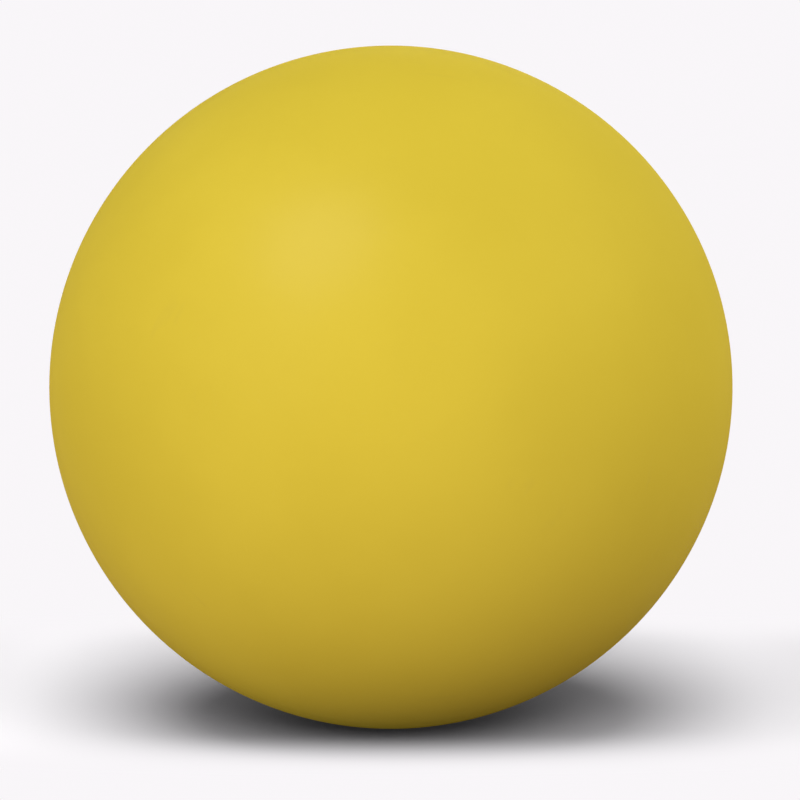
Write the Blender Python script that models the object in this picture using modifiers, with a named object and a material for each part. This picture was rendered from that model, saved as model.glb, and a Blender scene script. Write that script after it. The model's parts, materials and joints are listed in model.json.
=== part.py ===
"""An inflated rubber bouncy ball, lying on the patch that its weight presses flat.

Seven pieces nest inside one another: a cover of two half shells, a layer of wound thread, a bladder of
two half shells, and a valve made of a boot and the plug that seals it. All of them are turned about the
valve axis, which runs through the middle of the ball, so each piece is a half section swept round by a
Screw modifier. A section is drawn in X and Z, with Z along the valve axis and the ball's middle at zero.

Units are metres and +Z is up. The origin is the middle of the flat patch, and the valve is at the back,
towards +Y.
"""

import math

import bmesh
import bpy

# Driving dimensions
BALL_DIAMETER = 0.216
PATCH_DIAMETER = 0.028  # the flat that the weight presses into the ball where it lies
VALVE_DROP = math.radians(12)  # how far the valve axis points below the horizontal

COVER_WALL = 0.0015
WINDING_WALL = 0.0004
BLADDER_WALL = 0.0006
CLEARANCE = 0.0003  # between any two pieces that touch on the real ball

FLANGE_DIAMETER = 0.036  # the boot's flange, bonded to the inside of the bladder
FLANGE_WALL = 0.0015
FLANGE_EDGE = 0.0006  # the flange thins towards its edge
STEM_DIAMETER = 0.013
STEM_LENGTH = 0.012  # how far the boot's stem stands into the ball below its flange

PLUG_HEAD_DIAMETER = 0.009
PLUG_HEAD_RECESS = 0.0003  # how far the flat head lies below the cover's surface
PLUG_HEAD_CHAMFER = 0.0003
PLUG_SHAFT_DIAMETER = 0.0065
PLUG_TIP_DIAMETER = 0.0042
PLUG_TIP_LENGTH = 0.002
NEEDLE_MOUTH_DIAMETER = 0.0026
NEEDLE_CHANNEL_DIAMETER = 0.0018
NEEDLE_CHANNEL_DEPTH = 0.011

COVER_STEPS = 72  # facets round the valve axis: the cover is what shows
CORE_STEPS = 36  # and what lies inside it is plainer

AXIS_MERGE = 0.00001  # section points nearer the axis than this become one pole

# Colours and roughness
YELLOW_RUBBER = (0.75, 0.56, 0.05), 0.5
NYLON_THREAD = (0.80, 0.78, 0.70), 0.7
BUTYL_RUBBER = (0.03, 0.03, 0.032), 0.6
VALVE_RUBBER = (0.05, 0.05, 0.052), 0.55


def inside_facets(radius, steps):
    """The least radius of a faceted sphere, which the middles of its facets reach."""
    return radius * math.cos(math.pi / steps) ** 2


def height_on(radius, off_axis):
    """How far along the valve axis a sphere of this radius lies, at a distance off the axis."""
    return math.sqrt(radius**2 - off_axis**2)


# Radii of the nested shells, from the outside in
COVER_OUT = BALL_DIAMETER / 2
COVER_IN = COVER_OUT - COVER_WALL
WINDING_OUT = inside_facets(COVER_IN, COVER_STEPS) - CLEARANCE
WINDING_IN = WINDING_OUT - WINDING_WALL
BLADDER_OUT = WINDING_IN - CLEARANCE
BLADDER_IN = BLADDER_OUT - BLADDER_WALL

# Sizes off the valve axis, and heights along it
STEM_RADIUS = STEM_DIAMETER / 2
STEM_HOLE = STEM_RADIUS + CLEARANCE
SHAFT_RADIUS = PLUG_SHAFT_DIAMETER / 2
BORE_RADIUS = SHAFT_RADIUS + CLEARANCE
HEAD_RADIUS = PLUG_HEAD_DIAMETER / 2
HEAD_HOLE = HEAD_RADIUS + CLEARANCE
HEAD_TOP = height_on(COVER_OUT, HEAD_HOLE) - PLUG_HEAD_RECESS
STEM_TOP = height_on(COVER_IN, STEM_RADIUS) - CLEARANCE
FLANGE_OUT = BLADDER_IN * math.cos(math.pi / CORE_STEPS) - CLEARANCE  # clear of the bladder's facets
FLANGE_TOP = height_on(FLANGE_OUT, STEM_RADIUS)
STEM_BOTTOM = FLANGE_TOP - FLANGE_WALL - STEM_LENGTH
PATCH_DEPTH = COVER_OUT - height_on(COVER_OUT, PATCH_DIAMETER / 2)
MIDDLE_HEIGHT = COVER_OUT - PATCH_DEPTH


def arc(radius, start, end, steps):
    """Section points on a sphere, between two angles from the valve axis.

    The corners between the ends keep to whole steps from the axis, so that the facets of nested shells
    lie in line.
    """
    row = 2 * math.pi / steps
    low, high = sorted((start, end))
    rows = [i * row for i in range(steps // 2 + 1)]
    between = [angle for angle in rows if low + row / 4 < angle < high - row / 4]
    angles = [low, *between, high]
    if start > end:
        angles.reverse()
    return [(radius * math.sin(angle), radius * math.cos(angle)) for angle in angles]


def rim_angles(outer, inner, side):
    """Angles of the outer and inner edges of a half shell's rim: side is 1 at the back and -1 at the front.

    The two rims meet in a 45 degree scarf, and the front half's rim lies under the back half's.
    """
    gap = side * CLEARANCE / math.sqrt(2)
    return math.acos(gap / outer), math.acos((gap + outer - inner) / inner)


def front_half_section(outer, inner, steps):
    """A closed cup, from the middle of its inside up to the rim and down its outside."""
    outer_rim, inner_rim = rim_angles(outer, inner, -1)
    return arc(inner, math.pi, inner_rim, steps) + arc(outer, outer_rim, math.pi, steps)


def back_half_section(outer, inner, hole, steps):
    """A cup with a hole of this radius at the valve, from the hole down its outside and up its inside."""
    outer_rim, inner_rim = rim_angles(outer, inner, 1)
    outside = arc(outer, math.asin(hole / outer), outer_rim, steps)
    return outside + arc(inner, inner_rim, math.asin(hole / inner), steps)


def winding_section():
    """A sphere with a hole round the boot, from the middle of its front up its inside and back."""
    inside = arc(WINDING_IN, math.pi, math.asin(STEM_HOLE / WINDING_IN), CORE_STEPS)
    return inside + arc(WINDING_OUT, math.asin(STEM_HOLE / WINDING_OUT), math.pi, CORE_STEPS)


def boot_section():
    """A tube through the bladder with a flange under it, from the tube's mouth down its outside."""
    edge = FLANGE_DIAMETER / 2
    bonded_face = arc(
        FLANGE_OUT, math.asin(STEM_RADIUS / FLANGE_OUT), math.asin(edge / FLANGE_OUT), CORE_STEPS
    )
    return [
        (BORE_RADIUS, STEM_TOP),
        (STEM_RADIUS, STEM_TOP),
        *bonded_face,
        (edge, height_on(FLANGE_OUT, edge) - FLANGE_EDGE),
        (STEM_RADIUS, FLANGE_TOP - FLANGE_WALL),
        (STEM_RADIUS, STEM_BOTTOM),
        (BORE_RADIUS, STEM_BOTTOM),
    ]


def plug_section():
    """A headed plug with a blind needle channel, from the channel's floor up, and then down its outside."""
    head_bottom = STEM_TOP + CLEARANCE
    channel = NEEDLE_CHANNEL_DIAMETER / 2
    mouth = NEEDLE_MOUTH_DIAMETER / 2
    return [
        (0, HEAD_TOP - NEEDLE_CHANNEL_DEPTH),
        (channel, HEAD_TOP - NEEDLE_CHANNEL_DEPTH),
        (channel, HEAD_TOP - (mouth - channel)),
        (mouth, HEAD_TOP),
        (HEAD_RADIUS - PLUG_HEAD_CHAMFER, HEAD_TOP),
        (HEAD_RADIUS, HEAD_TOP - PLUG_HEAD_CHAMFER),
        (HEAD_RADIUS, head_bottom),
        (SHAFT_RADIUS, head_bottom),
        (SHAFT_RADIUS, STEM_BOTTOM + PLUG_TIP_LENGTH),
        (PLUG_TIP_DIAMETER / 2, STEM_BOTTOM),
        (0, STEM_BOTTOM),
    ]


def collection(name):
    made = bpy.data.collections.new(name)
    bpy.context.scene.collection.children.link(made)
    return made


def plain_material(name, colour, roughness):
    material = bpy.data.materials.new(name)
    material.use_nodes = True
    shader = material.node_tree.nodes["Principled BSDF"]
    shader.inputs["Base Color"].default_value = (*colour, 1)
    shader.inputs["Roughness"].default_value = roughness
    shader.inputs["Metallic"].default_value = 0
    return material


def turned(name, section, steps, material):
    """A piece swept round the valve axis. A section that ends on the axis stays open; others close."""
    count = len(section)
    ends_on_axis = section[0][0] < AXIS_MERGE and section[-1][0] < AXIS_MERGE
    edges = [(i, (i + 1) % count) for i in range(count - ends_on_axis)]
    mesh = bpy.data.meshes.new(name)
    mesh.from_pydata([(x, 0, z) for x, z in section], edges, [])
    mesh.materials.append(material)
    piece = bpy.data.objects.new(name, mesh)
    piece.parent = valve_axis
    ball.objects.link(piece)
    screw = piece.modifiers.new("turn", "SCREW")
    screw.axis = "Z"
    screw.steps = steps
    screw.render_steps = steps
    screw.use_merge_vertices = True
    screw.merge_threshold = AXIS_MERGE
    screw.use_smooth_shade = True
    return piece


def box_below_ground(name, side):
    """A cube whose top face lies on the ground, under the origin."""
    mesh = bpy.data.meshes.new(name)
    cube = bmesh.new()
    bmesh.ops.create_cube(cube, size=side)
    cube.to_mesh(mesh)
    cube.free()
    box = bpy.data.objects.new(name, mesh)
    box.location.z = -side / 2
    box.hide_render = True
    box.display_type = "WIRE"
    cutters.objects.link(box)
    return box


for leftover in list(bpy.data.objects):
    bpy.data.objects.remove(leftover)

ball = collection("bouncy_ball")
cutters = collection("cutters")

valve_axis = bpy.data.objects.new("valve_axis", None)
valve_axis.location.z = MIDDLE_HEIGHT
valve_axis.rotation_euler.x = -(math.pi / 2 + VALVE_DROP)
valve_axis.empty_display_size = COVER_OUT
ball.objects.link(valve_axis)

yellow_rubber = plain_material("yellow_rubber", *YELLOW_RUBBER)
nylon_thread = plain_material("nylon_thread", *NYLON_THREAD)
butyl_rubber = plain_material("butyl_rubber", *BUTYL_RUBBER)
valve_rubber = plain_material("valve_rubber", *VALVE_RUBBER)

# The cover: the ground cuts the patch from whichever half meets it
cover_front = front_half_section(COVER_OUT, COVER_IN, COVER_STEPS)
cover_back = back_half_section(COVER_OUT, COVER_IN, HEAD_HOLE, COVER_STEPS)
cover_halves = [
    turned("cover_front_half", cover_front, COVER_STEPS, yellow_rubber),
    turned("cover_back_half", cover_back, COVER_STEPS, yellow_rubber),
]
patch_cutter = box_below_ground("patch_cutter", 2 * PATCH_DIAMETER)
for half in cover_halves:
    flat = half.modifiers.new("flat_patch", "BOOLEAN")
    flat.operation = "DIFFERENCE"
    flat.object = patch_cutter

# The core: thread wound over a bladder
bladder_front = front_half_section(BLADDER_OUT, BLADDER_IN, CORE_STEPS)
bladder_back = back_half_section(BLADDER_OUT, BLADDER_IN, STEM_HOLE, CORE_STEPS)
turned("thread_winding", winding_section(), CORE_STEPS, nylon_thread)
turned("bladder_front_half", bladder_front, CORE_STEPS, butyl_rubber)
turned("bladder_back_half", bladder_back, CORE_STEPS, butyl_rubber)

# The valve
turned("valve_boot", boot_section(), CORE_STEPS, valve_rubber)
turned("valve_plug", plug_section(), CORE_STEPS, valve_rubber)
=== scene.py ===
# %% [markdown]
# # A bouncy ball
#
# The photograph shows a plain yellow rubber ball lying on a pale surface. It is an inflated ball, so there
# is more to it than one sphere: a cover moulded in two halves, a layer of wound thread, a bladder in two
# halves, and a valve with a plug at the back. This lesson rebuilds each of them in Blender around the
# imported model, which already holds the real sizes, and then gives each its finish.

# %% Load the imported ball
import json
import math

import bpy
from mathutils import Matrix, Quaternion, Vector


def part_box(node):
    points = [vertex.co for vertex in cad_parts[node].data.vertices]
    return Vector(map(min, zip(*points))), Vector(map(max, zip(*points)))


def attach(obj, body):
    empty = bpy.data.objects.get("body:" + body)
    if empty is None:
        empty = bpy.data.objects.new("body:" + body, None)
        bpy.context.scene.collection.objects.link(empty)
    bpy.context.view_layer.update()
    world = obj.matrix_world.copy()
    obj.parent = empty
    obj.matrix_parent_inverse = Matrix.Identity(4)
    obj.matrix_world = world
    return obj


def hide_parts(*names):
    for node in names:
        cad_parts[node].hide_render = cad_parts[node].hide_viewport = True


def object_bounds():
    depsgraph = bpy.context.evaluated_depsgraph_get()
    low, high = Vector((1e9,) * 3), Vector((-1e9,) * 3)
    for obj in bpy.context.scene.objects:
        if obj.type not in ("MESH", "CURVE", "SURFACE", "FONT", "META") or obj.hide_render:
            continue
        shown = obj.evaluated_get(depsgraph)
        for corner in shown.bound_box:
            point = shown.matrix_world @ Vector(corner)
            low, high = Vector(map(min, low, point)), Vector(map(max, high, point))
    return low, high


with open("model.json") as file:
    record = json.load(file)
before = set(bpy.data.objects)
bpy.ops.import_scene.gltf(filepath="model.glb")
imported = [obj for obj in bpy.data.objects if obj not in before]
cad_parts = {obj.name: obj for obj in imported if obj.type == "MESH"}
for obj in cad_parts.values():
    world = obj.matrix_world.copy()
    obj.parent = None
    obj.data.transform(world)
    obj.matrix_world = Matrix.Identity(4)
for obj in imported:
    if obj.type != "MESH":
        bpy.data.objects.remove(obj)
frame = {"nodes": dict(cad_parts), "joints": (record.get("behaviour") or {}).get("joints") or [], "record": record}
cad_low, cad_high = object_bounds()
print("packed nodes:", ", ".join(sorted(frame["nodes"])))

# %% [markdown]
# Everything on this ball is turned about one line, the valve axis, which runs through the middle of the
# ball. The plug slides along that axis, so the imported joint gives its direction. The ball's radius is half
# its width, and its middle is halfway up the wound layer, which is a whole sphere inside the cover.

# %% Measure the ball
ball_radius = (cad_high.x - cad_low.x) / 2
winding_low, winding_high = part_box("thread_winding")
ball_middle = Vector((0, 0, (winding_low.z + winding_high.z) / 2))
valve_axis = Vector(frame["joints"][0]["axis"]).normalized()
valve_turn = valve_axis.to_track_quat("Z", "Y").to_euler()
print(f"radius {ball_radius * 1000:.2f} mm, middle {ball_middle.z * 1000:.2f} mm above the ground")

# %% [markdown]
# ## The camera
#
# A sphere looks the same from every side, so the camera's height has to come from the shadow: it is as flat
# as it would look from six or seven degrees up. The ball's place and size in the photograph then fix the
# lens and the aim. Turning the camera a little to one side puts the ball off the centre of the picture, and
# no lens shift is needed.

# %% Set the camera
PHOTO_SIDE = 800
BALL_COLUMN, BALL_ROW, BALL_RADIUS_PIXELS = 391.0, 387.3, 341.7
CAMERA_ELEVATION = math.radians(6.6)
CAMERA_DISTANCE = 1.1
SENSOR_WIDTH = 36

view_direction = Vector((0, math.cos(CAMERA_ELEVATION), -math.sin(CAMERA_ELEVATION)))
view_right = Vector((1, 0, 0))
view_up = view_right.cross(view_direction)
focal_pixels = BALL_RADIUS_PIXELS / math.tan(math.asin(ball_radius / CAMERA_DISTANCE))
metres_per_pixel = CAMERA_DISTANCE / focal_pixels

bpy.ops.object.camera_add(location=ball_middle - view_direction * CAMERA_DISTANCE)
camera = bpy.context.object
camera.name = "photo_camera"
camera.data.sensor_width = SENSOR_WIDTH
camera.data.lens = focal_pixels / PHOTO_SIDE * SENSOR_WIDTH
aim = ball_middle - view_right * (BALL_COLUMN - PHOTO_SIDE / 2) * metres_per_pixel
aim += view_up * (BALL_ROW - PHOTO_SIDE / 2) * metres_per_pixel
camera.rotation_euler = (aim - camera.location).to_track_quat("-Z", "Y").to_euler()
bpy.context.scene.camera = camera
bpy.context.scene.view_settings.view_transform = "Standard"
print(f"lens {camera.data.lens:.1f} mm")

# %% [markdown]
# ## The studio
#
# The floor is one large plane. Close to the ball it is a pale matt surface that takes the shadow, and
# further out it fades into the same pale tone as the background, so that no horizon shows. The fade is an
# oval, wider than it is deep and a little behind the ball, as the shadow is. At the oval's two ends, in the
# open light beside the shadow, the surface is a darker grey, or it would be too bright there.
#
# Rays that light the ball see a darker floor than the camera does, which keeps the ball's underside as dark as it
# is in the photograph. That floor also gives off a faint painted light of its own, with no lamp behind it, so the
# underside isn't black where it meets the ground. The Light Path node tells these rays apart. From below the floor
# is clear, so that the underside can be seen.

# %% Helpers for node trees
# A Mix node has sockets for every kind of value, and these are the ones for colours
MIX_COLOURS_IN, MIX_COLOUR_OUT = slice(6, 8), 2


def add_node(tree, kind, **settings):
    """Adds a shader node and sets its properties."""
    node = tree.nodes.new("ShaderNode" + kind)
    for name, value in settings.items():
        setattr(node, name, value)
    return node


def set_inputs(node, **values):
    """Sets a node's inputs by name, with _ for a space."""
    for name, value in values.items():
        node.inputs[name.replace("_", " ")].default_value = value
    return node


def combine(tree, operation, first, second):
    """A Math node on two values, each a socket or a number."""
    node = add_node(tree, "Math", operation=operation)
    for socket, value in zip(node.inputs, (first, second)):
        if isinstance(value, bpy.types.NodeSocket):
            tree.links.new(value, socket)
        else:
            socket.default_value = value
    return node.outputs["Value"]


def map_range(tree, value, low, high, new_low=0.0, new_high=1.0):
    """Stretches a value from one range to another, and holds it there."""
    node = add_node(tree, "MapRange", interpolation_type="SMOOTHERSTEP")
    set_inputs(node, From_Min=low, From_Max=high, To_Min=new_low, To_Max=new_high)
    tree.links.new(value, node.inputs["Value"])
    return node.outputs["Result"]


def mix_colours(tree, share, first, second):
    """A Mix node on two colours, each a socket or a colour."""
    node = add_node(tree, "Mix", data_type="RGBA")
    tree.links.new(share, node.inputs["Factor"])
    for socket, value in zip(node.inputs[MIX_COLOURS_IN], (first, second)):
        if isinstance(value, bpy.types.NodeSocket):
            tree.links.new(value, socket)
        else:
            socket.default_value = (*value, 1)
    return node.outputs[MIX_COLOUR_OUT]


def blend_shaders(tree, share, first, second):
    """A Mix Shader node: the first shader where share is 0, the second where it is 1."""
    node = add_node(tree, "MixShader")
    tree.links.new(share, node.inputs[0])
    tree.links.new(first, node.inputs[1])
    tree.links.new(second, node.inputs[2])
    return node.outputs[0]


def seen_directly(tree):
    """1 for the rays that show a surface as it is: from the camera, in a reflection or through glass."""
    path = add_node(tree, "LightPath")
    mirrored = combine(tree, "MAXIMUM", path.outputs["Is Glossy Ray"], path.outputs["Is Transmission Ray"])
    return combine(tree, "MAXIMUM", path.outputs["Is Camera Ray"], mirrored)


# %% Lay the floor
BACKDROP_COLOUR = (0.945, 0.922, 0.945)
FLOOR_COLOUR, OPEN_FLOOR_COLOUR = (0.95, 0.93, 0.95), (0.80, 0.78, 0.80)
FLOOR_BOUNCE, FLOOR_PAINTED_GLOW = (0.25, 0.178, 0.19), (0.083, 0.083, 0.083)
FLOOR_SIDE = 40
SHADOW_REACH, BACKDROP_START = 0.076, 0.138
SHADOW_MIDDLE, SHADOW_STRETCH = (0, 0.055, 0), 2.36
OPEN_START, OPEN_END = 0.11, 0.165

bpy.ops.object.select_all(action="DESELECT")
bpy.ops.mesh.primitive_plane_add(size=FLOOR_SIDE)
floor = bpy.context.object
floor.name = "studio_floor"

floor_material = bpy.data.materials.new("studio_floor")
floor_material.use_nodes = True
tree = floor_material.node_tree
tree.nodes.clear()
place = add_node(tree, "TexCoord")
oval = add_node(tree, "Mapping", vector_type="TEXTURE")
set_inputs(oval, Location=SHADOW_MIDDLE, Scale=(SHADOW_STRETCH, 1, 1))
tree.links.new(place.outputs["Object"], oval.inputs["Vector"])
distance = add_node(tree, "VectorMath", operation="LENGTH")
tree.links.new(oval.outputs["Vector"], distance.inputs[0])
fade = map_range(tree, distance.outputs["Value"], SHADOW_REACH, BACKDROP_START)
split = add_node(tree, "SeparateXYZ")
tree.links.new(place.outputs["Object"], split.inputs[0])
in_the_open = map_range(tree, combine(tree, "ABSOLUTE", split.outputs["X"], 0), OPEN_START, OPEN_END)
near_floor = add_node(tree, "BsdfDiffuse")
near_colour = mix_colours(tree, in_the_open, FLOOR_COLOUR, OPEN_FLOOR_COLOUR)
tree.links.new(near_colour, near_floor.inputs["Color"])
far_floor = set_inputs(add_node(tree, "Emission"), Color=(*BACKDROP_COLOUR, 1))
bounce = set_inputs(add_node(tree, "BsdfDiffuse"), Color=(*FLOOR_BOUNCE, 1))
# The glow is painted light: the floor gives off a faint light of its own to the rays that light the ball's
# underside.
painted_glow = set_inputs(add_node(tree, "Emission"), Color=(*FLOOR_PAINTED_GLOW, 1))
upward = add_node(tree, "AddShader")
tree.links.new(bounce.outputs[0], upward.inputs[0])
tree.links.new(painted_glow.outputs[0], upward.inputs[1])
shown = blend_shaders(tree, fade, near_floor.outputs[0], far_floor.outputs[0])
lit = blend_shaders(tree, seen_directly(tree), upward.outputs[0], shown)
side = add_node(tree, "NewGeometry")
clear = add_node(tree, "BsdfTransparent")
either_side = blend_shaders(tree, side.outputs["Backfacing"], lit, clear.outputs[0])
tree.links.new(either_side, add_node(tree, "OutputMaterial").inputs["Surface"])
floor.data.materials.append(floor_material)
print("floor", floor.dimensions[:2])

# %% [markdown]
# The photograph has the even light of a white tent: panels all round, strongest from the front left. A lamp
# that lit both the ball's sides and the floor would wash out the dark shadow under the ball, so light
# linking gives the tent's panels to the ball, and large lamps of its own to the floor. The one weak
# highlight comes from a lamp that shows only as a reflection. Each level is the brightness that the lamp
# would give a white card that faces it at the ball.

# %% Hang the lamps
LAMP_DISTANCE = 1.5
FILL_COLOUR = (0.20, 0.20, 0.20)
PANEL_SIZE = 0.8
# Each lamp's azimuth and elevation in degrees, its level and, where it isn't a panel, its size
HIGHLIGHT_LAMP = (-35, 50, 2.0, 0.9)
FLOOR_LAMPS = [(1, 37, 0.66, 1.4), (-33, 80, 1.10, 1.8)]
TENT_PANELS = [
    (-57, 12, 0.10),
    (-33, 12, 0.42),
    (31, 28, 0.32),
    (80, 36, 0.09),
    (111, 31, 0.27),
    (180, 15, 0.40),
    (-135, 56, 0.27),
]


def hang_lamp(name, azimuth, elevation, level, size, linked, highlight=False):
    """Hangs a round soft lamp that faces the ball; azimuth 0 is the camera's side, and 90 its right."""
    turn, rise = math.radians(azimuth), math.radians(elevation)
    towards = Vector((math.sin(turn) * math.cos(rise), -math.cos(turn) * math.cos(rise), math.sin(rise)))
    bpy.ops.object.light_add(type="AREA", location=ball_middle + towards * LAMP_DISTANCE)
    lamp = bpy.context.object
    lamp.name = name
    lamp.rotation_euler = towards.to_track_quat("Z", "Y").to_euler()
    lamp.data.shape = "DISK"
    lamp.data.size = size
    lamp.data.energy = level * (math.pi * LAMP_DISTANCE) ** 2
    lamp.light_linking.receiver_collection = linked
    lamp.visible_camera = False
    lamp.visible_diffuse = not highlight
    lamp.visible_glossy = highlight
    return lamp


floor_alone = bpy.data.collections.new("floor_alone")
floor_alone.objects.link(floor)
all_but_floor = bpy.data.collections.new("all_but_floor")
all_but_floor.objects.link(floor)
all_but_floor.collection_objects[0].light_linking.link_state = "EXCLUDE"

hang_lamp("highlight_lamp", *HIGHLIGHT_LAMP, all_but_floor, highlight=True)
for number, panel in enumerate(TENT_PANELS, 1):
    hang_lamp(f"tent_panel_{number}", *panel, PANEL_SIZE, all_but_floor)
for number, lamp in enumerate(FLOOR_LAMPS, 1):
    hang_lamp(f"floor_lamp_{number}", *lamp, floor_alone)

world = bpy.data.worlds.new("tent")
bpy.context.scene.world = world
world.use_nodes = True
tree = world.node_tree
tone = mix_colours(tree, seen_directly(tree), FILL_COLOUR, BACKDROP_COLOUR)
tree.links.new(tone, tree.nodes["Background"].inputs["Color"])
print("lamps:", 1 + len(TENT_PANELS) + len(FLOOR_LAMPS))

# %% [markdown]
# ## The front half of the cover
#
# The cover is a rubber skin about one and a half millimetres thick. It is cured in a mould of two halves,
# so a fine line runs right round the ball where they met. A half could be cut from a sphere and thickened,
# but the lip and the ring of the other half would then have to be worked into its mesh. Every piece of this
# ball is round about the valve axis, so it is easier to draw half of its section, one vertex extruded from
# point to point, and to spin that about the axis. A Bevel modifier then takes off the sharp edges, which
# rubber never has.

# %% Helper for turned pieces
MERGE_DISTANCE = 0.0000005
SHARP_ANGLE = math.radians(30)
ROUNDING_SEGMENTS = 2

sideways = valve_axis.orthogonal().normalized()


def turned(name, outline, steps, rounding):
    """Spins an outline about the valve axis and rounds its edges; a point is (off the axis, along it)."""
    places = [ball_middle + sideways * off + valve_axis * along for off, along in outline]
    bpy.ops.object.select_all(action="DESELECT")
    bpy.ops.mesh.primitive_plane_add(size=ball_radius)
    piece = bpy.context.object
    piece.name = name
    bpy.ops.object.mode_set(mode="EDIT")
    bpy.ops.mesh.merge(type="CENTER")
    bpy.ops.transform.translate(value=places[0])
    for here, there in zip(places, places[1:]):
        bpy.ops.mesh.extrude_region_move(TRANSFORM_OT_translate={"value": there - here})
    bpy.ops.mesh.select_all(action="SELECT")
    bpy.ops.mesh.spin(steps=steps, angle=math.tau, center=ball_middle, axis=valve_axis)
    bpy.ops.mesh.select_all(action="SELECT")
    bpy.ops.mesh.remove_doubles(threshold=MERGE_DISTANCE)
    bpy.ops.mesh.normals_make_consistent(inside=False)
    bpy.ops.object.mode_set(mode="OBJECT")
    bevel = piece.modifiers.new("rounding", "BEVEL")
    bevel.width = rounding
    bevel.segments = ROUNDING_SEGMENTS
    bevel.limit_method = "ANGLE"
    bevel.angle_limit = SHARP_ANGLE
    bpy.ops.object.modifier_apply(modifier=bevel.name)
    bpy.ops.object.shade_smooth_by_angle(angle=SHARP_ANGLE)
    print(f"{name}: {len(piece.data.polygons)} faces")
    return piece


# %% [markdown]
# The outline of a half shell is two arcs, one outside and one inside, joined by the rim. Near an edge that
# the Bevel rounds, the outline has one more point, so that the shading turns there and not over a whole row
# of faces.

# %% Mould the front half
ROUND_STEPS = 192
COVER_WALL = 0.0015
COVER_ROUNDING = 0.00015
SEAM_GAP = 0.00002
EDGE_SUPPORT = 0.0006


def at_off(radius, off):
    """The outline point of a sphere at a distance off the valve axis, on the valve's side."""
    return off, math.sqrt(radius**2 - off**2)


def at_height(radius, along):
    """The outline point of a sphere at a height along the valve axis."""
    return math.sqrt(radius**2 - along**2), along


def arc(start, end):
    """Outline points along a sphere about the ball's middle, from one of its points to another."""
    radius = math.hypot(*start)
    first, last = math.atan2(*start), math.atan2(*end)
    rows = max(1, round(abs(last - first) / (math.tau / ROUND_STEPS)))
    angles = [first + (last - first) * row / rows for row in range(rows + 1)]
    return [(radius * math.sin(angle), radius * math.cos(angle)) for angle in angles]


cover_inside = ball_radius - COVER_WALL
front_outline = [
    *arc((0, -ball_radius), at_height(ball_radius, -SEAM_GAP - EDGE_SUPPORT)),
    at_height(ball_radius, -SEAM_GAP),
    at_height(cover_inside, -SEAM_GAP),
    *arc(at_height(cover_inside, -SEAM_GAP - EDGE_SUPPORT), (0, -cover_inside)),
]
cover_front = turned("cover_front", front_outline, ROUND_STEPS, COVER_ROUNDING)

# %% [markdown]
# ## The back half of the cover
#
# The back half has all that the front half lacks. The valve hole has a soft lip, and a shallow ring round
# it is the mark of the round insert that carries the valve in the mould. Boolean cuts could make both, but
# they leave uneven faces along their edges, so the lip and the ring are drawn in the outline.

# %% Mould the back half
VALVE_HOLE = 0.0048
LIP_ROUNDING = 0.0005
LIP_STEPS = 5
INSERT_RING = 0.0120
RING_WIDTH, RING_FLOOR, RING_DEPTH = 0.0012, 0.0005, 0.0003

lip_top = at_off(ball_radius, VALVE_HOLE + LIP_ROUNDING)
lip_turns = [math.pi / 2 * step / LIP_STEPS for step in range(LIP_STEPS)]
lip = [
    (lip_top[0] - LIP_ROUNDING * math.cos(turn), lip_top[1] - LIP_ROUNDING * (1 - math.sin(turn)))
    for turn in lip_turns
]
ring_start, ring_end = INSERT_RING - RING_WIDTH / 2, INSERT_RING + RING_WIDTH / 2
ring_bottom = ball_radius - RING_DEPTH
near_lip = at_off(ball_radius, VALVE_HOLE + LIP_ROUNDING * 2)
near_seam = SEAM_GAP + EDGE_SUPPORT
back_outline = [
    *lip,
    lip_top,
    *arc(near_lip, at_off(ball_radius, ring_start - EDGE_SUPPORT)),
    at_off(ball_radius, ring_start),
    at_off(ring_bottom, INSERT_RING - RING_FLOOR / 2),
    at_off(ring_bottom, INSERT_RING + RING_FLOOR / 2),
    at_off(ball_radius, ring_end),
    *arc(at_off(ball_radius, ring_end + EDGE_SUPPORT), at_height(ball_radius, near_seam)),
    at_height(ball_radius, SEAM_GAP),
    at_height(cover_inside, SEAM_GAP),
    *arc(at_height(cover_inside, near_seam), at_off(cover_inside, VALVE_HOLE + EDGE_SUPPORT)),
    at_off(cover_inside, VALVE_HOLE),
    lip[0],
]
cover_back = turned("cover_back", back_outline, ROUND_STEPS, COVER_ROUNDING)

# %% [markdown]
# Where the ball lies, its own weight presses a small patch flat. A cut at the level of the ground gives the
# patch a clean edge, and all that is below the ground is scaled up to it, which keeps the skin whole.

# %% Press the patch flat
bpy.ops.object.select_all(action="DESELECT")
cover_back.select_set(True)
bpy.context.view_layer.objects.active = cover_back
bpy.ops.object.mode_set(mode="EDIT")
bpy.ops.mesh.select_all(action="SELECT")
bpy.ops.mesh.bisect(plane_co=(0, 0, 0), plane_no=(0, 0, 1), threshold=MERGE_DISTANCE)
bpy.ops.mesh.select_mode(type="VERT")
bpy.ops.mesh.select_all(action="DESELECT")
bpy.ops.object.mode_set(mode="OBJECT")
for corner in cover_back.data.vertices:
    corner.select = corner.co.z < 0
bpy.ops.object.mode_set(mode="EDIT")
bpy.ops.transform.resize(value=(1, 1, 0), center_override=(0, 0, 0))
bpy.ops.object.mode_set(mode="OBJECT")
patch = [corner.co.length for corner in cover_back.data.vertices if corner.co.z < MERGE_DISTANCE]
print(f"patch: {max(patch) * 2000:.1f} mm across")

# %% [markdown]
# ## The valve
#
# The plug is a small black rubber mushroom. Its head fills the hole in the cover, with a pinhole in a
# shallow dish for the needle of a pump. The ribs on its shaft grip the boot, the tube that holds it. The
# ribs could be rings of their own, but the real plug is one moulding, so they are steps in its outline.

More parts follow.
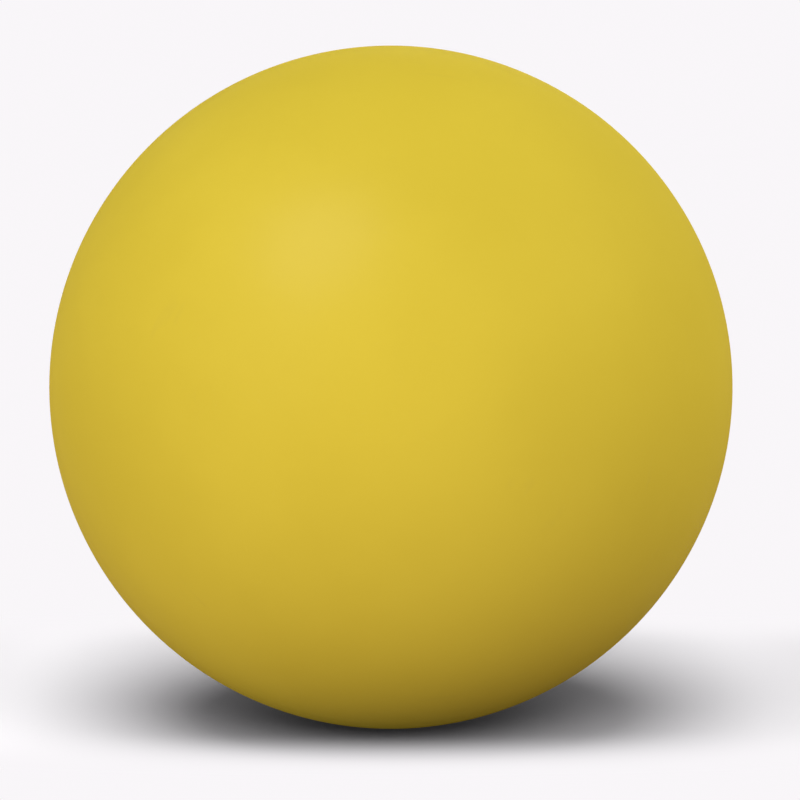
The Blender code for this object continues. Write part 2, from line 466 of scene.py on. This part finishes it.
# %% Turn the plug
VALVE_STEPS = 96
HEAD_RADIUS, HEAD_WALL, HEAD_RECESS = 0.00465, 0.0013, 0.00025
SHAFT_RADIUS, PLUG_LENGTH = 0.0032, 0.0172
RIBS, RIB_PITCH, RIB_HEIGHT = 4, 0.0024, 0.00022
TIP_RADIUS, TIP_LENGTH = 0.0021, 0.002
MOUTH_RADIUS, CHANNEL_RADIUS, CHANNEL_DEPTH = 0.0013, 0.0008, 0.011
DISH_RADIUS, DISH_DEPTH = 0.0032, 0.0002
PLUG_ROUNDING = 0.00008

head_top = at_off(ball_radius, VALVE_HOLE)[1] - HEAD_RECESS
shaft_top = head_top - HEAD_WALL
plug_end = head_top - PLUG_LENGTH
dish = head_top - DISH_DEPTH
plug_outline = [
    (0, head_top - CHANNEL_DEPTH),
    (CHANNEL_RADIUS, head_top - CHANNEL_DEPTH),
    (CHANNEL_RADIUS, dish - (MOUTH_RADIUS - CHANNEL_RADIUS)),
    (MOUTH_RADIUS, dish),
    (DISH_RADIUS, dish),
    (DISH_RADIUS + DISH_DEPTH, head_top),
    (HEAD_RADIUS, head_top),
    (HEAD_RADIUS, shaft_top),
    (SHAFT_RADIUS, shaft_top),
]
for rib in range(RIBS):
    rib_middle = shaft_top - (rib + 1) * RIB_PITCH
    plug_outline += [
        (SHAFT_RADIUS, rib_middle + RIB_HEIGHT * 2),
        (SHAFT_RADIUS + RIB_HEIGHT, rib_middle + RIB_HEIGHT / 2),
        (SHAFT_RADIUS + RIB_HEIGHT, rib_middle - RIB_HEIGHT / 2),
        (SHAFT_RADIUS, rib_middle - RIB_HEIGHT * 2),
    ]
plug_outline += [
    (SHAFT_RADIUS, plug_end + TIP_LENGTH),
    (TIP_RADIUS, plug_end),
    (0, plug_end),
]
plug = turned("plug", plug_outline, VALVE_STEPS, PLUG_ROUNDING)

# %% [markdown]
# The boot is a tube with a thin flange. The flange is bonded to the inside of the bladder, and the tube
# reaches out through the bladder and the winding to the underside of the cover.

# %% Turn the boot
BLADDER_WALL = 0.0006
BOND_GAP = 0.0002
BORE_RADIUS, STEM_RADIUS, STEM_LENGTH = 0.00355, 0.0065, 0.0157
FLANGE_RADIUS, FLANGE_WALL, FLANGE_EDGE = 0.018, 0.0015, 0.0006
BOOT_ROUNDING = 0.0002

bladder_low, bladder_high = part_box("bladder_front_half")
bladder_radius = (bladder_high.x - bladder_low.x) / 2
bladder_inside = bladder_radius - BLADDER_WALL
stem_top = at_off(cover_inside, STEM_RADIUS)[1] - BOND_GAP
flange_root = at_off(bladder_inside - BOND_GAP, STEM_RADIUS)
flange_tip = at_off(bladder_inside - BOND_GAP, FLANGE_RADIUS)
boot_outline = [
    (BORE_RADIUS, stem_top),
    (STEM_RADIUS, stem_top),
    *arc(flange_root, flange_tip),
    (FLANGE_RADIUS, flange_tip[1] - FLANGE_EDGE),
    (STEM_RADIUS, flange_root[1] - FLANGE_WALL),
    (STEM_RADIUS, stem_top - STEM_LENGTH),
    (BORE_RADIUS, stem_top - STEM_LENGTH),
    (BORE_RADIUS, stem_top),
]
boot = turned("boot", boot_outline, VALVE_STEPS, BOOT_ROUNDING)

# %% [markdown]
# ## The bladder
#
# The bladder holds the air. It is black butyl rubber, thinner than the cover and made of two halves as
# well. A raised band along each rim is where the halves are lapped and joined.

# %% Mould the bladder
BLADDER_HOLE = 0.0068
BAND_WIDTH, BAND_HEIGHT = 0.005, 0.00015
BLADDER_ROUNDING = 0.00006

band_radius = bladder_radius + BAND_HEIGHT
bladder_front_outline = [
    *arc((0, -bladder_radius), at_height(bladder_radius, -BAND_WIDTH - BAND_HEIGHT)),
    *arc(at_height(band_radius, -BAND_WIDTH), at_height(band_radius, -SEAM_GAP)),
    *arc(at_height(bladder_inside, -SEAM_GAP), (0, -bladder_inside)),
]
bladder_back_outline = [
    at_off(bladder_inside, BLADDER_HOLE),
    *arc(at_off(bladder_radius, BLADDER_HOLE), at_height(bladder_radius, BAND_WIDTH + BAND_HEIGHT)),
    *arc(at_height(band_radius, BAND_WIDTH), at_height(band_radius, SEAM_GAP)),
    *arc(at_height(bladder_inside, SEAM_GAP), at_off(bladder_inside, BLADDER_HOLE)),
]
bladder_front = turned("bladder_front", bladder_front_outline, ROUND_STEPS, BLADDER_ROUNDING)
bladder_back = turned("bladder_back", bladder_back_outline, ROUND_STEPS, BLADDER_ROUNDING)

# %% [markdown]
# ## The winding
#
# Nylon thread, wound round and round the bladder in every direction, keeps the ball round. A pattern on a
# shell could stand for it, but it is one thread, so one curve with a round section shows best how it
# crosses itself. Each lap is nearly a great circle. Its plane leans to and fro and turns a little from lap
# to lap, as a winding machine turns the bladder, and it stands a little off the ball's middle, so that the
# laps that pass clear of the valve still cover the front.

# %% Wind the thread
THREAD_DIAMETER = 0.0004
LAPS, POINTS_PER_LAP = 240, 60
LEAN_MIDDLE, LEAN_SWING = math.radians(52), math.radians(36)
LEANS_PER_LAP, TURNS_PER_LAP = 0.0437, 0.0268
PLANE_OFFSET = math.radians(3.7)

winding_radius = (winding_high.x - winding_low.x) / 2 - THREAD_DIAMETER / 2
thread = bpy.data.curves.new("winding", "CURVE")
thread.dimensions = "3D"
thread.bevel_depth = THREAD_DIAMETER / 2
thread.bevel_resolution = 0
thread.use_fill_caps = True
line = thread.splines.new("POLY")
line.points.add(LAPS * POINTS_PER_LAP)
for number, point in enumerate(line.points):
    round_lap = math.tau * number / POINTS_PER_LAP
    outward = sideways.copy()
    outward.rotate(Quaternion(valve_axis, round_lap * TURNS_PER_LAP))
    lean = LEAN_MIDDLE + LEAN_SWING * math.sin(round_lap * LEANS_PER_LAP)
    highest = outward * math.cos(lean) + valve_axis * math.sin(lean)
    beside = valve_axis.cross(outward)
    off_plane = outward * math.sin(lean) - valve_axis * math.cos(lean)
    lap = (highest * math.cos(round_lap) + beside * math.sin(round_lap)) * math.cos(PLANE_OFFSET)
    place = ball_middle + (lap + off_plane * math.sin(PLANE_OFFSET)) * winding_radius
    point.co = (*place, 1)
winding = bpy.data.objects.new("winding", thread)
bpy.context.scene.collection.objects.link(winding)
bpy.ops.object.select_all(action="DESELECT")
winding.select_set(True)
bpy.context.view_layer.objects.active = winding
bpy.ops.object.convert(target="MESH")
bpy.ops.object.mode_set(mode="EDIT")
bpy.ops.mesh.select_all(action="SELECT")
bpy.ops.mesh.remove_doubles(threshold=MERGE_DISTANCE)
bpy.ops.object.mode_set(mode="OBJECT")
print(f"winding: {LAPS} laps, {LAPS * math.tau * winding_radius:.0f} m of thread")

# %% [markdown]
# ## The finishes
#
# Rubber from a mould is never quite even. Its colour clouds a little, its skin has a fine grain from the
# blasted steel, and its gloss drifts. All three rubbers here share that, so it is one node group, placed in
# each material with its own scale. A second group draws the faint marks that handling leaves.

# %% Helper for node groups
def node_group(name, inputs, outputs):
    """An empty shader node group with named values, and its input and output nodes."""
    group = bpy.data.node_groups.new(name, "ShaderNodeTree")
    for label, kind in inputs:
        group.interface.new_socket(label, in_out="INPUT", socket_type="NodeSocket" + kind)
    for label, kind in outputs:
        group.interface.new_socket(label, in_out="OUTPUT", socket_type="NodeSocket" + kind)
    return group, group.nodes.new("NodeGroupInput"), group.nodes.new("NodeGroupOutput")


def noise(tree, vector, scale, detail=2.0, roughness=0.5):
    """A Noise Texture's value; scale is a socket or a number per metre."""
    node = set_inputs(add_node(tree, "TexNoise"), Detail=detail, Roughness=roughness)
    tree.links.new(vector, node.inputs["Vector"])
    if isinstance(scale, bpy.types.NodeSocket):
        tree.links.new(scale, node.inputs["Scale"])
    else:
        node.inputs["Scale"].default_value = scale
    return node.outputs["Fac"]


# %% The moulded skin group
NOISE_RANGE = 0.3, 0.7  # where nearly all of a noise's values lie
GLOSS_FINENESS, PEEL_FINENESS = 2.7, 0.07  # against the clouds and against the grain
GRAIN_SHARE = 0.4

skin_group, skin_in, skin_out = node_group(
    "moulded_skin",
    [("Vector", "Vector"), ("Cloud Scale", "Float"), ("Grain Scale", "Float")],
    [("Cloud", "Float"), ("Gloss", "Float"), ("Height", "Float")],
)
cloud = noise(skin_group, skin_in.outputs["Vector"], skin_in.outputs["Cloud Scale"], detail=4)
gloss_scale = combine(skin_group, "MULTIPLY", skin_in.outputs["Cloud Scale"], GLOSS_FINENESS)
gloss = noise(skin_group, skin_in.outputs["Vector"], gloss_scale, detail=3)
grain = noise(skin_group, skin_in.outputs["Vector"], skin_in.outputs["Grain Scale"], detail=2)
peel_scale = combine(skin_group, "MULTIPLY", skin_in.outputs["Grain Scale"], PEEL_FINENESS)
peel = noise(skin_group, skin_in.outputs["Vector"], peel_scale, detail=1)
height = combine(skin_group, "ADD", combine(skin_group, "MULTIPLY", grain, GRAIN_SHARE), peel)
skin_group.links.new(map_range(skin_group, cloud, *NOISE_RANGE), skin_out.inputs["Cloud"])
skin_group.links.new(map_range(skin_group, gloss, *NOISE_RANGE), skin_out.inputs["Gloss"])
skin_group.links.new(height, skin_out.inputs["Height"])
print("group:", skin_group.name)

# %% The rub marks group
STREAK_TURN, STREAK_STRETCH = (0.6, 0.3, 0.9), (1, 9, 2)
STREAK_RANGE, PLACE_RANGE, SPECK_RANGE = (0.58, 0.72), (0.5, 0.7), (0.66, 0.74)
SPECK_FINENESS = 40  # against the streaks

marks_group, marks_in, marks_out = node_group(
    "rub_marks",
    [("Vector", "Vector"), ("Scale", "Float")],
    [("Scuff", "Float"), ("Dust", "Float")],
)
stretched = set_inputs(add_node(marks_group, "Mapping"), Rotation=STREAK_TURN, Scale=STREAK_STRETCH)
marks_group.links.new(marks_in.outputs["Vector"], stretched.inputs["Vector"])
mark_scale = marks_in.outputs["Scale"]
streak = noise(marks_group, stretched.outputs["Vector"], mark_scale, detail=6, roughness=0.6)
where = noise(marks_group, marks_in.outputs["Vector"], mark_scale, detail=2)
streaks = map_range(marks_group, streak, *STREAK_RANGE)
scuff = combine(marks_group, "MULTIPLY", streaks, map_range(marks_group, where, *PLACE_RANGE))
dust_scale = combine(marks_group, "MULTIPLY", mark_scale, SPECK_FINENESS)
specks = noise(marks_group, marks_in.outputs["Vector"], dust_scale, detail=2)
marks_group.links.new(scuff, marks_out.inputs["Scuff"])
marks_group.links.new(map_range(marks_group, specks, *SPECK_RANGE), marks_out.inputs["Dust"])
print("group:", marks_group.name)

# %% Helpers for finishes
def start_finish(name):
    """A new material, its node tree, its Principled shader and its Object coordinates."""
    material = bpy.data.materials.new(name)
    material.use_nodes = True
    tree = material.node_tree
    place = add_node(tree, "TexCoord")
    return material, tree, tree.nodes["Principled BSDF"], place.outputs["Object"]


def place_group(tree, group, vector, **values):
    """Places a node group and gives it its coordinates and values."""
    node = add_node(tree, "Group", node_tree=group)
    tree.links.new(vector, node.inputs["Vector"])
    return set_inputs(node, **values)


def add_bump(tree, shader, height, depth):
    """Turns a height into relief, where 1 stands for this depth in metres."""
    bump = set_inputs(add_node(tree, "Bump"), Distance=depth)
    tree.links.new(height, bump.inputs["Height"])
    tree.links.new(bump.outputs["Normal"], shader.inputs["Normal"])


# %% [markdown]
# The cover's yellow is a satin one. In the photograph it has a single broad, weak highlight and no more
# sheen at the sides than in the middle, so most of its light is scattered by the rubber itself, and only a
# thin waxy film on it shines. In the shader the rubber is matt and the film is a light coat. Along the
# moulding line a narrow band, ground smooth by hand after moulding, is a little duller than the rest, with
# an uneven edge. Dirt has settled in the line itself and in the ring round the valve.

# %% Yellow rubber
YELLOW_DEEP, YELLOW_PALE = (0.735, 0.558, 0.046), (0.765, 0.584, 0.050)
YELLOW_RUBBED, YELLOW_DUSTY = (0.62, 0.46, 0.07), (0.78, 0.64, 0.16)
YELLOW_DIRTY = (0.26, 0.19, 0.05)
YELLOW_CLOUDS, YELLOW_GRAIN, YELLOW_MARKS = 14, 3500, 24  # noise scales, per metre
SCUFF_SHARE, DUST_SHARE, GROUND_SHARE, DIRT_SHARE = 0.10, 0.05, 0.15, 0.35
GROUND_BAND, BAND_WANDER, WANDER_SCALE = 0.0024, 0.0016, 110
SEAM_DIRT = 0.00025
YELLOW_ROUGHNESS, DULL_ROUGHNESS = (0.50, 0.62), 0.15
FILM_WEIGHT, FILM_WORN, FILM_ROUGHNESS = (0.055, 0.045), 0.02, 0.35
YELLOW_RELIEF = 0.00003

yellow_rubber, tree, shader, vector = start_finish("yellow_rubber")
skin = place_group(tree, skin_group, vector, Cloud_Scale=YELLOW_CLOUDS, Grain_Scale=YELLOW_GRAIN)
marks = place_group(tree, marks_group, vector, Scale=YELLOW_MARKS)
about_valve = add_node(tree, "Mapping", vector_type="TEXTURE")
set_inputs(about_valve, Location=ball_middle, Rotation=valve_turn)
tree.links.new(vector, about_valve.inputs["Vector"])
split = add_node(tree, "SeparateXYZ")
tree.links.new(about_valve.outputs["Vector"], split.inputs[0])
from_seam = combine(tree, "ABSOLUTE", split.outputs["Z"], 0)
from_axis = add_node(tree, "VectorMath", operation="LENGTH")
flattened = set_inputs(add_node(tree, "Mapping"), Scale=(1, 1, 0))
tree.links.new(about_valve.outputs["Vector"], flattened.inputs["Vector"])
tree.links.new(flattened.outputs["Vector"], from_axis.inputs[0])
past_ring = combine(tree, "SUBTRACT", from_axis.outputs["Value"], INSERT_RING)
from_ring = combine(tree, "ABSOLUTE", past_ring, 0)
at_back = map_range(tree, split.outputs["Z"], 0, SEAM_DIRT)

wander = combine(tree, "MULTIPLY", noise(tree, vector, WANDER_SCALE, detail=4), BAND_WANDER)
from_band = combine(tree, "ADD", from_seam, wander)
ground_band = map_range(tree, from_band, GROUND_BAND / 2, GROUND_BAND, 1, 0)
ring_dirt = map_range(tree, from_ring, RING_FLOOR / 2, RING_WIDTH / 2, 1, 0)
ring_dirt = combine(tree, "MULTIPLY", ring_dirt, at_back)
seam_dirt = map_range(tree, from_seam, SEAM_DIRT / 3, SEAM_DIRT, 1, 0)
dirt = combine(tree, "MULTIPLY", combine(tree, "MAXIMUM", ring_dirt, seam_dirt), DIRT_SHARE)

colour = mix_colours(tree, skin.outputs["Cloud"], YELLOW_DEEP, YELLOW_PALE)
for mask, share, tone in (
    (marks.outputs["Scuff"], SCUFF_SHARE, YELLOW_RUBBED),
    (marks.outputs["Dust"], DUST_SHARE, YELLOW_DUSTY),
    (ground_band, GROUND_SHARE, YELLOW_DUSTY),
    (dirt, 1, YELLOW_DIRTY),
):
    colour = mix_colours(tree, combine(tree, "MULTIPLY", mask, share), colour, tone)
tree.links.new(colour, shader.inputs["Base Color"])

dull = combine(tree, "MAXIMUM", ground_band, dirt)
roughness = map_range(tree, skin.outputs["Gloss"], 0, 1, *YELLOW_ROUGHNESS)
roughness = combine(tree, "ADD", roughness, combine(tree, "MULTIPLY", dull, DULL_ROUGHNESS))
tree.links.new(roughness, shader.inputs["Roughness"])
film = map_range(tree, skin.outputs["Gloss"], 0, 1, *FILM_WEIGHT)
film = combine(tree, "SUBTRACT", film, combine(tree, "MULTIPLY", dull, FILM_WORN))
tree.links.new(film, shader.inputs["Coat Weight"])
set_inputs(shader, Specular_IOR_Level=0, Coat_Roughness=FILM_ROUGHNESS)
add_bump(tree, shader, skin.outputs["Height"], YELLOW_RELIEF)
print("material:", yellow_rubber.name)

# %% [markdown]
# The valve's rubber is black and a little shinier, with a grey bloom, and the bladder's is dull and dusted
# with the talc that keeps it from sticking to itself in the mould.

# %% Black rubbers
VALVE_BLACK, VALVE_BLOOM = (0.022, 0.022, 0.024), (0.075, 0.075, 0.078)
BUTYL_BLACK, BUTYL_BLOOM, TALC = (0.020, 0.020, 0.022), (0.045, 0.045, 0.048), (0.42, 0.41, 0.40)


def black_rubber(name, scales, tones, marked, roughness, specular, relief):
    """A moulded rubber of two tones, clouded and marked; scales are those of clouds, grain and marks."""
    material, tree, shader, vector = start_finish(name)
    cloud_scale, grain_scale, mark_scale = scales
    skin = place_group(tree, skin_group, vector, Cloud_Scale=cloud_scale, Grain_Scale=grain_scale)
    marks = place_group(tree, marks_group, vector, Scale=mark_scale)
    colour = mix_colours(tree, skin.outputs["Cloud"], *tones)
    for mark, share, tone in marked:
        colour = mix_colours(tree, combine(tree, "MULTIPLY", marks.outputs[mark], share), colour, tone)
    tree.links.new(colour, shader.inputs["Base Color"])
    tree.links.new(map_range(tree, skin.outputs["Gloss"], 0, 1, *roughness), shader.inputs["Roughness"])
    set_inputs(shader, Specular_IOR_Level=specular)
    add_bump(tree, shader, skin.outputs["Height"], relief)
    return material


valve_rubber = black_rubber(
    "valve_rubber",
    scales=(160, 6000, 220),
    tones=(VALVE_BLACK, VALVE_BLOOM),
    marked=[("Scuff", 0.3, VALVE_BLOOM)],
    roughness=(0.42, 0.58),
    specular=0.4,
    relief=0.000006,
)
butyl_rubber = black_rubber(
    "butyl_rubber",
    scales=(30, 3000, 35),
    tones=(BUTYL_BLACK, BUTYL_BLOOM),
    marked=[("Dust", 0.5, TALC), ("Scuff", 0.25, TALC)],
    roughness=(0.55, 0.75),
    specular=0.3,
    relief=0.00002,
)
print("materials:", valve_rubber.name, butyl_rubber.name)

# %% [markdown]
# The thread is off-white nylon, set in a little latex that has yellowed here and there.

# %% Nylon thread
NYLON, LATEX = (0.78, 0.76, 0.69), (0.62, 0.52, 0.34)
STAIN_SCALE, STAIN_RANGE = 18, (0.42, 0.68)
FIBRE_SCALE, FIBRE_ROUGHNESS, FIBRE_RELIEF = 4000, (0.45, 0.7), 0.00003

nylon_thread, tree, shader, vector = start_finish("nylon_thread")
stain = noise(tree, vector, STAIN_SCALE, detail=5)
fibre = noise(tree, vector, FIBRE_SCALE, detail=2)
colour = mix_colours(tree, map_range(tree, stain, *STAIN_RANGE), NYLON, LATEX)
tree.links.new(colour, shader.inputs["Base Color"])
roughness = map_range(tree, fibre, *NOISE_RANGE, *FIBRE_ROUGHNESS)
tree.links.new(roughness, shader.inputs["Roughness"])
add_bump(tree, shader, fibre, FIBRE_RELIEF)
print("material:", nylon_thread.name)

# %% [markdown]
# ## Putting it together
#
# Each piece takes the finish of the imported node that it stands for, which is then hidden, and rides on a body of
# the packed model: the plug on its own body, which slides out of the ball, and all the rest on the ball.

# %% Dress the frame
FINISHES = {
    "yellow_rubber": yellow_rubber,
    "nylon_thread": nylon_thread,
    "butyl_rubber": butyl_rubber,
    "valve_rubber": valve_rubber,
}
slots = {subpart["node"]: subpart["material_slot"] for subpart in frame["record"]["subparts"]}
for piece, node, body in (
    (cover_front, "cover_front_half", "ball"),
    (cover_back, "cover_back_half", "ball"),
    (winding, "thread_winding", "ball"),
    (bladder_front, "bladder_front_half", "ball"),
    (bladder_back, "bladder_back_half", "ball"),
    (boot, "valve_boot", "ball"),
    (plug, "valve_plug", "valve_plug"),
):
    piece.data.materials.clear()
    piece.data.materials.append(FINISHES[slots[node]])
    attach(piece, body)
    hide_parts(node)
    print(f"{piece.name}: {len(piece.data.polygons)} faces, rides on {body}")

# %% [markdown]
# The shadow in the photograph is a plain grey, with no yellow cast. So the cover and the winding are hidden
# from the rays that the floor sends out to find its light: these end on the black bladder inside, which is
# nearly as large a shade.

# %% Keep the shadow grey
for piece in (cover_front, cover_back, winding):
    piece.visible_diffuse = False
    print("hidden from the floor's light:", piece.name)

# %% [markdown]
# The imported model's box is printed at the end, since the looks shouldn't change the ball's size.

# %% Print the imported model's size
print("packed box", [round(x * 1000, 2) for x in cad_high - cad_low], "mm")
